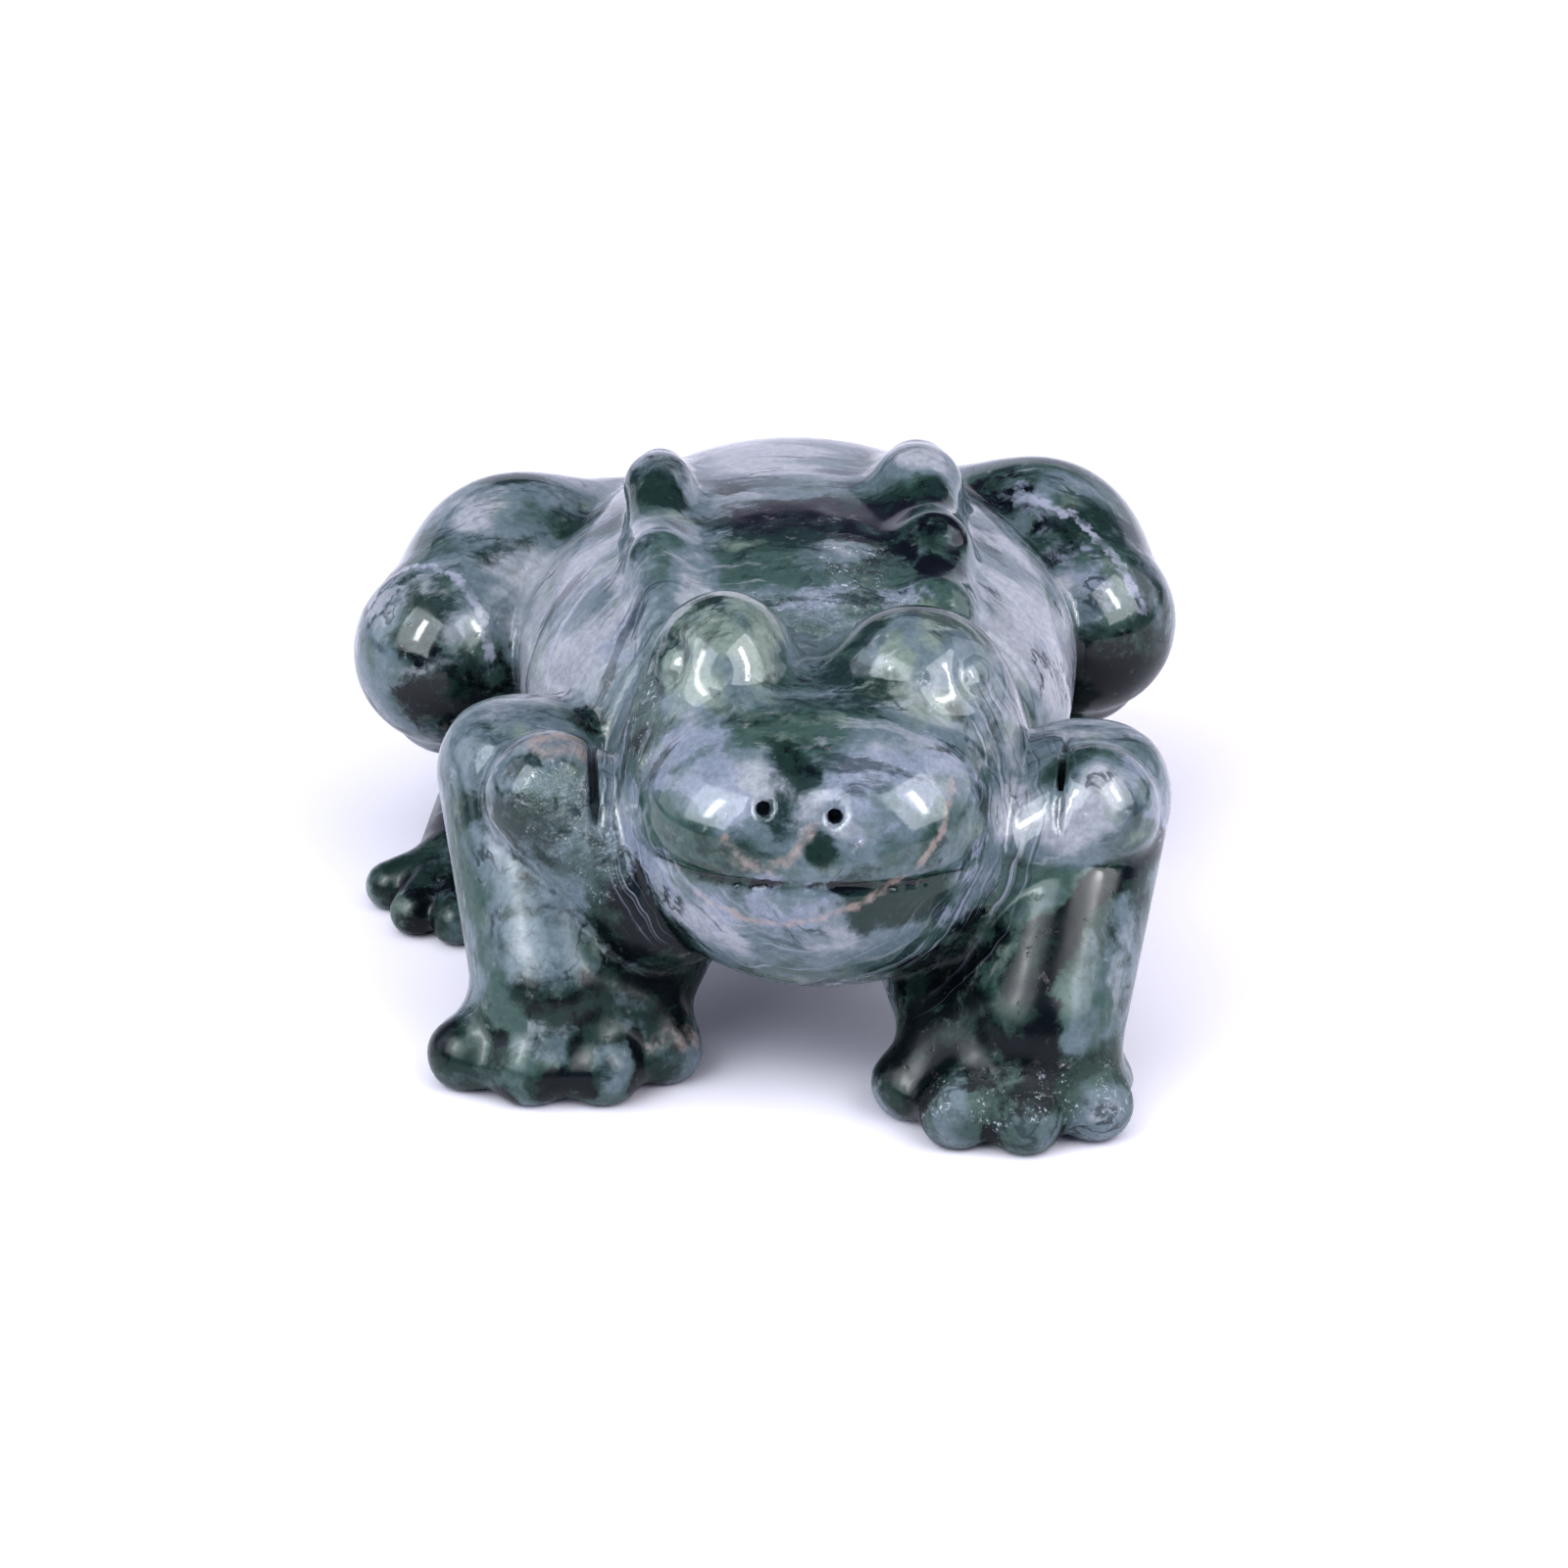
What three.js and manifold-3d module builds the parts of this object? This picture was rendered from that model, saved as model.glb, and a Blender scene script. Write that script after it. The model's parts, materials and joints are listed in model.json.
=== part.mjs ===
// A crawling frog carved from one piece of mottled jade, with nothing fitted or inlaid.
// Millimetres. +Z is up from the table, -Y is the way the frog faces, and +X is to the right of someone
// who looks the frog in the face. Every place below is measured from a point under the middle of the
// belly; the last step moves the whole carving so that its origin is the middle of its footprint.
import * as THREE from "three";
import { mergeVertices } from "three/addons/utils/BufferGeometryUtils.js";
import Module from "manifold-3d";

const wasm = await Module();
wasm.setup();

// How finely the round masses are faceted
const BODY_SIDES = 24;
const LIMB_SIDES = 14;
const TOE_SIDES = 7;

// Trunk, as overlapping ellipsoids: centre and half-lengths along x, y and z
const TRUNK_MASSES = [
  { centre: [0.9, 5, 19], radii: [21, 25, 12.6] },
  { centre: [1.2, -7, 18.5], radii: [17.5, 14.5, 11.2] },
  { centre: [0.5, 20, 15.5], radii: [16, 14, 12] },
  { centre: [1.5, -18, 15], radii: [15.5, 9.5, 9] },
];

// The two raised folds along the back, from behind the hip knob to behind the eye
const BACK_FOLDS = [
  {
    line: [[-9.3, 12, 30.6], [-9.3, 7, 31.6], [-9, 0, 30.6], [-8.3, -8, 29], [-7.2, -14, 28]],
    radii: [2, 2.6, 2, 1.7, 1.4],
  },
  {
    line: [[10.4, 13, 30.2], [10.4, 7, 31.4], [10.8, 0, 30.4], [11, -7, 29.2], [10.8, -12, 28.2]],
    radii: [2.4, 3, 2.4, 2.1, 1.6],
  },
];

// Head, turned a little to one side, as overlapping ellipsoids
const HEAD_YAW = -8;
const BROW_PITCH = -20;
const HEAD_MASSES = [
  { centre: [2.9, -21.5, 17.2], radii: [14.4, 15, 10.4], pitch: 0 },
  { centre: [2.4, -24.5, 21], radii: [10.4, 11, 5.6], pitch: 0 },
  { centre: [-5.4, -19.5, 21], radii: [6.4, 9.8, 7.6], pitch: 0 },
  { centre: [11.2, -18.6, 20.6], radii: [6.4, 9.8, 7.6], pitch: 0 },
  { centre: [-4.7, -18.6, 26.6], radii: [5.7, 7.2, 5.8], pitch: BROW_PITCH },
  { centre: [9.7, -17.6, 25.6], radii: [5.9, 7.2, 6], pitch: BROW_PITCH },
];
const NOSTRILS = [[-1.4, -34.6, 24.6], [3.5, -34.4, 24]];
const NOSTRIL_DIAMETER = 1.2;
const NOSTRIL_DEPTH = 3;
const MOUTH_WIDTH = 1.1;
const MOUTH_HEIGHT = 18.6; // of its corners
const MOUTH_RISE = 1.1; // from the corners to the middle
const MOUTH_HALF_ANGLE = 62; // round the snout, in degrees
const MOUTH_RUN_OUT = 0.07; // how far past the skin the groove ends, as a share of the head's size
const MOUTH_STEPS = 24;

// Forelegs: the upper arm lies in front of the forearm, and both are flat on top at the elbow
const FORELEGS = [
  {
    shoulder: [-9, -23, 13.5],
    elbowFront: [-16.8, -21.5, 20.2],
    elbowBack: [-18.8, -15.5, 18.6],
    wrist: [-16.2, -25, 6.4],
    palm: [-16, -26, 3.4],
    knuckles: [-16, -24, 4],
    toes: [[-23.2, -28.6, 2], [-17.9, -30.8, 1.9], [-12.3, -30.8, 1.9], [-8.3, -26.8, 1.9]],
    flatTop: 23,
  },
  {
    shoulder: [13, -24, 13],
    elbowFront: [21.6, -25, 20.2],
    elbowBack: [21.4, -20.5, 19],
    wrist: [18, -31, 6.8],
    palm: [15.6, -32.2, 3.5],
    knuckles: [16.5, -30, 4.2],
    toes: [[8.3, -32.4, 2], [11.8, -37.2, 1.9], [16.6, -38, 1.9], [22.2, -36.1, 2]],
    flatTop: 23.4,
  },
];
const SHOULDER_RADIUS = 6.5;
const UPPER_ARM_RADIUS = 4.7;
const ELBOW_RADIUS = 6.1;
const WRIST_RADIUS = 6.2;
const PALM_RADII = [9.3, 6.4, 4.3];
const KNUCKLE_RADIUS = 3.1;
const FINGERTIP_RADIUS = 2.3;

// Hind legs: thigh out to the knee, shin folded back under it, long foot forward along the table
const HIND_LEGS = [
  {
    hip: [-11, 25, 16.5],
    thigh: [-20.3, 17.5, 18.6],
    knee: [-25.4, 8, 17.7],
    shin: [-25.4, 11, 13.2],
    ankle: [-22, 25, 6],
    heel: [-22, 24, 3],
    sole: [-25, 2, 2.4],
    toes: [[-29.7, 0.6, 1.6], [-27.6, -3.8, 1.6], [-24.4, -5.4, 1.6], [-21.2, -4.2, 1.6]],
  },
  {
    hip: [11, 27, 16.5],
    thigh: [19.3, 21.5, 18.3],
    knee: [22.9, 14.5, 17.4],
    shin: [22.9, 17.5, 12.9],
    ankle: [19, 31, 6],
    heel: [19, 30, 3],
    sole: [21.5, 10, 2.4],
    toes: [[25.8, 7, 1.6], [24, 2.2, 1.6], [21.2, 0.5, 1.6], [18, 2, 1.6]],
  },
];
const HIP_RADIUS = 8;
const THIGH_RADIUS = 8.4;
const KNEE_RADIUS = 7.1;
const SHIN_RADIUS = 5;
const ANKLE_RADIUS = 3.8;
const HEEL_RADIUS = 3.6;
const SOLE_RADIUS = 3;
const TOE_ROOT_RADIUS = 2.6;
const TOE_TIP_RADIUS = 1.9;

const BLOCK = 200; // wider than the whole carving, for flat cuts

function solidFrom(geometry) {
  const bare = geometry.index ? geometry.clone() : mergeVertices(geometry.clone());
  bare.deleteAttribute("normal");
  bare.deleteAttribute("uv");
  const merged = mergeVertices(bare, 1e-5);
  return new wasm.Manifold(
    new wasm.Mesh({
      numProp: 3,
      vertProperties: new Float32Array(merged.attributes.position.array),
      triVerts: new Uint32Array(merged.index.array),
    }),
  );
}

function geometryFrom(solid) {
  const { vertProperties, triVerts } = solid.getMesh();
  const geometry = new THREE.BufferGeometry();
  geometry.setAttribute("position", new THREE.BufferAttribute(vertProperties, 3));
  geometry.setIndex(new THREE.BufferAttribute(triVerts, 1));
  geometry.computeVertexNormals();
  return geometry;
}

function joined(solids) {
  return solids.reduce((whole, piece) => whole.add(piece));
}

function ellipsoid(centre, radii, { yaw = 0, pitch = 0, sides = BODY_SIDES } = {}) {
  const geometry = new THREE.SphereGeometry(1, sides, sides / 2);
  geometry.rotateX(Math.PI / 2);
  geometry.scale(...radii);
  geometry.rotateX(THREE.MathUtils.degToRad(pitch));
  geometry.rotateZ(THREE.MathUtils.degToRad(yaw));
  geometry.translate(...centre);
  return solidFrom(geometry);
}

// Two balls and the straight skin that touches both
function limb(from, to, fromRadius, toRadius, sides = LIMB_SIDES) {
  const start = new THREE.Vector3(...from);
  const along = new THREE.Vector3(...to).sub(start);
  const length = along.length();
  const lean = Math.asin((fromRadius - toRadius) / length);
  const arcSteps = Math.ceil(sides / 4);
  const profile = [];
  for (let i = 0; i <= arcSteps; i += 1) {
    const angle = -Math.PI / 2 + (i / arcSteps) * (Math.PI / 2 + lean);
    profile.push(new THREE.Vector2(fromRadius * Math.cos(angle), fromRadius * Math.sin(angle)));
  }
  for (let i = 0; i <= arcSteps; i += 1) {
    const angle = lean + (i / arcSteps) * (Math.PI / 2 - lean);
    profile.push(new THREE.Vector2(toRadius * Math.cos(angle), length + toRadius * Math.sin(angle)));
  }
  profile[0].x = 0;
  profile[profile.length - 1].x = 0;
  const geometry = new THREE.LatheGeometry(profile, sides);
  const up = new THREE.Vector3(0, 1, 0);
  geometry.applyQuaternion(new THREE.Quaternion().setFromUnitVectors(up, along.normalize()));
  geometry.translate(...from);
  return solidFrom(geometry);
}

function fold({ line, radii }) {
  const lengths = line.slice(1).map((end, i) => limb(line[i], end, radii[i], radii[i + 1], TOE_SIDES));
  return joined(lengths);
}

function trunk() {
  return joined([
    ...TRUNK_MASSES.map(({ centre, radii }) => ellipsoid(centre, radii)),
    ...BACK_FOLDS.map(fold),
  ]);
}

function head() {
  return joined(HEAD_MASSES.map(({ centre, radii, pitch }) => ellipsoid(centre, radii, { yaw: HEAD_YAW, pitch })));
}

function digits(root, tips, rootRadius, tipRadius) {
  return tips.map((tip) => limb(root, tip, rootRadius, tipRadius, TOE_SIDES));
}

// Everything above a height is cut away
function flattened(solid, height) {
  const geometry = new THREE.BoxGeometry(BLOCK, BLOCK, BLOCK);
  geometry.translate(0, 0, height + BLOCK / 2);
  return solid.subtract(solidFrom(geometry));
}

function foreleg(leg) {
  const arm = joined([
    limb(leg.shoulder, leg.elbowFront, SHOULDER_RADIUS, UPPER_ARM_RADIUS),
    limb(leg.elbowBack, leg.wrist, ELBOW_RADIUS, WRIST_RADIUS),
    ellipsoid(leg.palm, PALM_RADII, { sides: LIMB_SIDES }),
    ...digits(leg.knuckles, leg.toes, KNUCKLE_RADIUS, FINGERTIP_RADIUS),
  ]);
  return flattened(arm, leg.flatTop);
}

function hindLeg(leg) {
  return joined([
    limb(leg.hip, leg.thigh, HIP_RADIUS, THIGH_RADIUS),
    limb(leg.thigh, leg.knee, THIGH_RADIUS, KNEE_RADIUS),
    limb(leg.shin, leg.ankle, SHIN_RADIUS, ANKLE_RADIUS),
    limb(leg.heel, leg.sole, HEEL_RADIUS, SOLE_RADIUS),
    ...digits(leg.sole, leg.toes, TOE_ROOT_RADIUS, TOE_TIP_RADIUS),
  ]);
}

// Each nostril is a blind hole, drilled straight back and a little down
function nostril(place) {
  const geometry = new THREE.CylinderGeometry(
    NOSTRIL_DIAMETER / 2, NOSTRIL_DIAMETER / 2, 2 * NOSTRIL_DEPTH, TOE_SIDES,
  );
  geometry.rotateX(THREE.MathUtils.degToRad(BROW_PITCH));
  geometry.translate(...place);
  return solidFrom(geometry);
}

// A line on the skin of the head's main mass, which leaves the skin at both of its ends
function mouthLine() {
  const { centre, radii } = HEAD_MASSES[0];
  const points = [];
  for (let i = 0; i <= MOUTH_STEPS; i += 1) {
    const share = (2 * i) / MOUTH_STEPS - 1;
    const angle = THREE.MathUtils.degToRad(share * MOUTH_HALF_ANGLE);
    const z = MOUTH_HEIGHT + MOUTH_RISE * Math.cos(angle);
    const size = Math.sqrt(1 - ((z - centre[2]) / radii[2]) ** 2) + MOUTH_RUN_OUT * share ** 6;
    const point = new THREE.Vector3(radii[0] * size * Math.sin(angle), -radii[1] * size * Math.cos(angle), 0);
    point.applyAxisAngle(new THREE.Vector3(0, 0, 1), THREE.MathUtils.degToRad(HEAD_YAW));
    points.push(point.add(new THREE.Vector3(centre[0], centre[1], z)));
  }
  return points;
}

// The mouth is one groove, cut by a thin rod that is bent round the snout
function mouthGroove() {
  const half = MOUTH_WIDTH / 2;
  const section = new THREE.Shape([
    new THREE.Vector2(half, 0),
    new THREE.Vector2(0, half),
    new THREE.Vector2(-half, 0),
    new THREE.Vector2(0, -half),
  ]);
  const path = new THREE.CatmullRomCurve3(mouthLine());
  return solidFrom(
    new THREE.ExtrudeGeometry(section, { steps: MOUTH_STEPS, extrudePath: path, bevelEnabled: false }),
  );
}

// The feet are ground flat, so the carving stands on its soles
function groundFlat(solid) {
  const geometry = new THREE.BoxGeometry(BLOCK, BLOCK, BLOCK);
  geometry.translate(0, 0, -BLOCK / 2);
  return solid.subtract(solidFrom(geometry));
}

function cut(solid, tools) {
  return tools.reduce((left, tool) => left.subtract(tool), solid);
}

function carving() {
  const rough = joined([trunk(), head(), ...FORELEGS.map(foreleg), ...HIND_LEGS.map(hindLeg)]);
  return cut(groundFlat(rough), [mouthGroove(), ...NOSTRILS.map(nostril)]);
}

const jade = new THREE.MeshStandardMaterial({ color: 0x6f8580, roughness: 0.18, metalness: 0 });
const frog = new THREE.Mesh(geometryFrom(carving()), jade);
frog.name = "carved_frog";

const footprint = new THREE.Box3().setFromBufferAttribute(frog.geometry.attributes.position);
const middle = footprint.getCenter(new THREE.Vector3());
frog.position.set(-middle.x, -middle.y, 0);

const figurine = new THREE.Group();
figurine.add(frog);

export default figurine;
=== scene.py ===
"""The looks of the jade frog: one carved stone, its mottled material, a pale floor and soft studio light.

The carving is a distance field made of rounded masses that melt into each other. It is measured in
millimetres in the carver's frame: +Z up, the frog looks along -Y, x = y = 0 under the middle of the back.
Left (-X) and right (+X) are as seen from in front of the frog.
One voxel mesh is drawn through the field's zero surface and stands for the CAD node carved_frog.
"""

import json
import math

import bpy
import numpy as np
import openvdb
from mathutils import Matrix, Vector


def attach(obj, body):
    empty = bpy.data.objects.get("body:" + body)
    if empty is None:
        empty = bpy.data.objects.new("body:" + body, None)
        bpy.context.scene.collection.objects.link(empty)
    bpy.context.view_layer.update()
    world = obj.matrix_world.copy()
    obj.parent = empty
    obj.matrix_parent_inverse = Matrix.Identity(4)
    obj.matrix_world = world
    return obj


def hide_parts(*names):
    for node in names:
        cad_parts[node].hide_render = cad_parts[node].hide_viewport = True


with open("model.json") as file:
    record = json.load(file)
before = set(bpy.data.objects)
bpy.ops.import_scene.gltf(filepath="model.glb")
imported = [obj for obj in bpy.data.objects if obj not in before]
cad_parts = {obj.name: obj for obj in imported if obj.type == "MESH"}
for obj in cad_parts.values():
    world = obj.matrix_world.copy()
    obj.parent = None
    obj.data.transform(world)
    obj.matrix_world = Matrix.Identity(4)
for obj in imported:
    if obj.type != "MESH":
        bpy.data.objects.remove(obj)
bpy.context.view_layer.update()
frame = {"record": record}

MM = 0.001

# ---------------------------------------------------------------------------------------------------------
# Where the carver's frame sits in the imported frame: one sole's place is known in both.
# ---------------------------------------------------------------------------------------------------------
LEFT_PALM = (-16.0, -26.0, 2.2)


def carver_shift():
    """Millimetres to add to a point in the carver's frame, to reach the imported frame."""
    mounts = {mount["name"]: mount["pos_m"] for mount in frame["record"]["mounts"]}
    sole = mounts["left_hand_sole"]
    return np.array([sole[0] / MM - LEFT_PALM[0], sole[1] / MM - LEFT_PALM[1], 0.0])


SHIFT = carver_shift()

# ---------------------------------------------------------------------------------------------------------
# The carving, in millimetres. A blend is the width over which a mass melts into what is already there.
# ---------------------------------------------------------------------------------------------------------
# (centre, radii, blend)
TRUNK = [
    ((0.9, 5, 19), (21, 25, 12.6), 0.0),
    ((1.2, -7, 18.5), (17.5, 14.5, 11.2), 6.0),
    ((0.5, 20, 15.5), (16, 14, 12), 6.0),
    ((1.5, -18, 15), (15.5, 9.5, 9), 4.0),
]

# The two knobbly skin folds along the back, from the rear knob forward: (points, radii)
LEFT_FOLD = (
    [(-8.6, 19, 26.8), (-9.3, 12, 30.4), (-9.3, 7, 31.5), (-9.3, 1.5, 30.0),
     (-9.0, -4, 29.9), (-8.4, -9.5, 28.6), (-7.4, -15, 26.9)],
    [1.2, 1.9, 2.5, 2.1, 2.4, 2.0, 1.9],
)
RIGHT_FOLD = (
    [(9.4, 21.5, 25.2), (10, 14, 29.6), (9.9, 8.5, 30.6), (10.6, 2.5, 29.9), (10.9, -1.5, 29.9),
     (11, -5.5, 28.9), (11.2, -9.5, 28.4), (11.4, -14, 26.8)],
    [1.4, 2.6, 3.4, 2.3, 2.8, 2.1, 2.4, 1.9],
)
FOLD_BLEND = 1.8
FOLD_LINK_BLEND = 0.5

# The head is turned a little towards -X. Its masses are the jaw, the muzzle, the two sides, the two brow
# domes and the forehead: (centre, radii, blend)
HEAD_YAW = -8.0
JAW_CENTRE = (2.9, -21.5, 17.2)
JAW_RADII = (14.4, 15.0, 10.4)
HEAD = [
    (JAW_CENTRE, JAW_RADII, 0.0),
    ((2.4, -24.3, 21), (10.2, 10.9, 5.6), 5.0),
    ((-5.4, -19.5, 21), (6.4, 9.8, 7.6), 3.0),
    ((11.2, -18.6, 20.6), (6.4, 9.8, 7.6), 3.0),
    ((-4.3, -19.4, 27.4), (5.5, 6.3, 6.4), 2.5),
    ((9.3, -19.6, 26.1), (6.9, 6.4, 6.7), 2.5),
    ((2.0, -27.2, 24.4), (10.5, 6.0, 4.0), 3.0),
]
HEAD_BLEND = 0.45
# Two soft muzzle pads, left and right of the nose: (centre, radii)
MUZZLE_PADS = [
    ((-3.8, -30.6, 22.6), (4.9, 4.4, 3.0)),
    ((7.2, -30.6, 22.2), (5.2, 4.6, 3.4)),
]
PAD_BLEND = 4.0
NECK_RINGS = [(1.0, 0.30, 0.24), (2.1, 0.35, 0.16)]  # (distance outside the head, width, depth)
NECK_START = -8.0
NECK_FADE = 6.0

MOUTH_HEIGHT = 18.6
MOUTH_BOW = 1.1  # the middle of the lip line stands this much higher than its corners
MOUTH_HALF_ANGLE = 60.0
MOUTH_FADE = 22.0
MOUTH_DEPTH = 0.36
MOUTH_WIDTH = 0.42
LIP_RISE = 1.5
LIP_WIDTH = 1.2
LIP_BULGE = 0.08

NOSTRILS = [(-1.4, -34.6, 24.6), (3.5, -34.4, 24)]
NOSTRIL_AXIS = (0, -0.94, 0.34)
NOSTRIL_RADII = (0.62, 0.5)
NOSTRIL_START = 3.0  # along the axis, outwards from the nostril's place
NOSTRIL_DEPTH = 1.6  # and inwards from it
NOSTRIL_BLEND = 0.3

# Rings cut round each eye, and one behind the right dome, whose centre was found like the stains' places.
# (centre, facing, radius, ring depth, bulge inside)
EYE_RINGS = [
    ((-8.4, -22.6, 30.2), (-0.80, -0.50, 0.32), 1.8, 0.34, 0.12),
    ((13.3, -22.8, 29.3), (0.62, -0.64, 0.45), 1.6, 0.30, 0.12),
    ((17.1, -11.6, 23.9), (0.62, -0.58, 0.52), 2.4, 0.30, 0.0),
]
RING_WIDTH = 0.40
RING_REACH = 2.6
BULGE_SHARE = 0.75  # the bulge's width as a share of the ring's radius

# Forelegs: shoulder to front of elbow, back of elbow to wrist, then the palm and four finger ridges.
FORELEGS = [
    dict(
        shoulder=(-9, -23, 13.5),
        elbow_front=(-16.6, -21.4, 19.4),
        elbow_back=(-18.8, -15.5, 18.6),
        wrist=(-16.2, -25, 6.4),
        flat_top=23.4,
        palm=LEFT_PALM,
        knuckle=(-15.8, -23.4, 5.0),
        fingers=[(-22.6, -27.9, 2.2), (-17.9, -30.2, 2.2), (-12.8, -30.2, 2.2), (-8.5, -26.9, 2.1)],
        web=((-7.5, -19, 10.5), (-11, -25, 5)),
    ),
    dict(
        shoulder=(13, -24, 13),
        elbow_front=(21.7, -24.6, 19.8),
        elbow_back=(21.4, -20.5, 19),
        wrist=(18, -31, 6.8),
        flat_top=23.7,
        palm=(15.6, -31.6, 2.2),
        knuckle=(16.4, -29.6, 5.4),
        fingers=[(8.9, -32.3, 2.2), (12.1, -36.6, 2.2), (16.8, -37.4, 2.2), (21.7, -35.6, 2.3)],
        web=((9.5, -21, 10.5), (12.5, -30, 5)),
    ),
]
UPPER_ARM_RADII = (6.5, 4.7)
FOREARM_RADII = (6.1, 6.0)
WEB_RADII = (4.2, 4.0)
PALM_RADII = (9.0, 6.2, 2.8)
FINGER_RADII = (3.0, 2.7)
FINGER_BLEND = 1.1
HAND_BLEND = 2.2
FLAT_TOP_BLEND = 1.4
FOREARM_BLEND = 1.5
WEB_BLEND = 2.5
CREASE_BLEND = 0.3  # the crisp line where the upper arm lies on the forearm

# Saw cuts between each arm and the head: (centre, radius, half width, yaw)
SLITS = [
    ((-13.3, -25, 25.2), 6.2, 0.42, 4.0),
    ((19.3, -26.6, 26), 6.4, 0.26, -6.0),
    ((15.7, -31.8, 18.6), 2.6, 0.22, -8.0),
]
SLIT_BLEND = 0.35

# Hind legs, folded: hip to thigh to knee, shin to ankle, then the sole and four toes.
HIND_LEGS = [
    dict(
        hip=(-11, 25, 16.5),
        thigh=(-20.3, 17.5, 18.6),
        knee=(-25.4, 8, 17.7),
        shin=(-25.4, 11, 13.2),
        ankle=(-22, 25, 6),
        heel=(-22, 24, 3),
        sole=(-25, 2, 2.4),
        toes=[(-29.7, 0.6, 1.6), (-27.6, -3.8, 1.6), (-24.4, -5.4, 1.6), (-21.2, -4.2, 1.6)],
    ),
    dict(
        hip=(11, 27, 16.5),
        thigh=(19.3, 21.5, 18.3),
        knee=(22.9, 14.5, 17.4),
        shin=(22.9, 17.5, 12.9),
        ankle=(19, 31, 6),
        heel=(19, 30, 3),
        sole=(21.5, 10, 2.4),
        toes=[(25.8, 7, 1.6), (24, 2.2, 1.6), (21.2, 0.5, 1.6), (18, 2, 1.6)],
    ),
]
THIGH_RADII = (8.0, 8.4, 7.1)  # hip, thigh, knee
SHIN_RADII = (5.0, 3.8)
FOOT_RADII = (3.6, 3.0)
TOE_RADII = (2.5, 1.9)
TOE_BLEND = 0.7
THIGH_BLEND = 3.0
KNEE_BLEND = 1.0
FOOT_BLEND = 2.0
LEG_BLEND = 0.8
SOLE_BLEND = 0.5

FIELD_LOW = (-36.0, -44.0, -1.5)
FIELD_HIGH = (34.0, 40.0, 36.5)
VOXEL = 0.44
BLOCK = 6  # voxels along one side of a block that is worked out at once
BLOCK_BATCH = 1500
BLOCK_REACH = 0.9  # a block is near the surface within this many block sides of it
BLOCK_MARGIN = 1.2  # and this many millimetres
SNAP_ROUNDS = 2
SNAP_LIMIT = 0.4  # voxels
SLOPE_STEP = 0.05
SLOPE_FLOOR = 0.2


# ---------------------------------------------------------------------------------------------------------
# Distance functions. Each takes points (an n x 3 array) and gives n distances, negative inside.
# ---------------------------------------------------------------------------------------------------------
def unit(vector):
    vector = np.asarray(vector, np.float32)
    return vector / np.linalg.norm(vector)


def turn(yaw):
    """Rotation matrix about Z, from degrees."""
    a = np.radians(yaw)
    return np.array([[np.cos(a), -np.sin(a), 0], [np.sin(a), np.cos(a), 0], [0, 0, 1]], np.float32)


def ellipsoid(points, centre, radii, rotation=None):
    local = points - np.asarray(centre, np.float32)
    if rotation is not None:
        local = local @ rotation
    radii = np.asarray(radii, np.float32)
    reach = np.sqrt(((local / radii) ** 2).sum(1))
    slope = np.sqrt(((local / radii**2) ** 2).sum(1))
    return reach * (reach - 1.0) / np.maximum(slope, 1e-6)


def round_cone(points, start, end, start_radius, end_radius):
    """A tapering limb with round ends."""
    start = np.asarray(start, np.float32)
    axis = np.asarray(end, np.float32) - start
    length2 = float(axis @ axis)
    taper = start_radius - end_radius
    side2 = length2 - taper * taper
    offset = points - start
    along = offset @ axis
    beyond = along - length2
    across = offset * length2 - along[:, None] * axis
    across2 = (across * across).sum(1)
    along2 = along * along * length2
    beyond2 = beyond * beyond * length2
    limit = np.sign(taper) * taper * taper * across2
    side = (np.sqrt(across2 * side2 / length2) + along * taper) / length2 - start_radius
    past_end = np.sign(beyond) * side2 * beyond2 > limit
    past_start = ~past_end & (np.sign(along) * side2 * along2 < limit)
    result = np.where(past_end, np.sqrt(across2 + beyond2) / length2 - end_radius, side)
    return np.where(past_start, np.sqrt(across2 + along2) / length2 - start_radius, result)


def join(a, b, blend):
    """The union of two fields, melting into each other over the width of blend."""
    if blend <= 0:
        return np.minimum(a, b)
    near = np.maximum(blend - np.abs(a - b), 0.0) / blend
    return np.minimum(a, b) - near * near * blend / 4


def keep_both(a, b, blend):
    return -join(-a, -b, blend)


def bump(distance, width):
    return np.exp(-((distance / width) ** 2))


def chain(points, places, radii, blend):
    """Round cones from place to place."""
    field = None
    for i in range(len(places) - 1):
        link = round_cone(points, places[i], places[i + 1], radii[i], radii[i + 1])
        field = link if field is None else join(field, link, blend)
    return field


def trunk(points):
    field = None
    for centre, radii, blend in TRUNK:
        mass = ellipsoid(points, centre, radii)
        field = mass if field is None else join(field, mass, blend)
    for places, radii in (LEFT_FOLD, RIGHT_FOLD):
        field = join(field, chain(points, places, radii, FOLD_LINK_BLEND), FOLD_BLEND)
    return field


def head(points):
    field = None
    for centre, radii, blend in HEAD:
        mass = ellipsoid(points, centre, radii, turn(HEAD_YAW))
        field = mass if field is None else join(field, mass, blend)
    for centre, radii in MUZZLE_PADS:
        field = join(field, ellipsoid(points, centre, radii, turn(HEAD_YAW)), PAD_BLEND)
    return field


def neck_rings(points, body, head_distance):
    """Shallow grooves in the body that run round the back of the jaw."""
    front = np.clip((NECK_START - points[:, 1]) / NECK_FADE, 0, 1)
    for offset, width, depth in NECK_RINGS:
        body = body + depth * front * bump(head_distance - offset, width)
    return body


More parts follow.
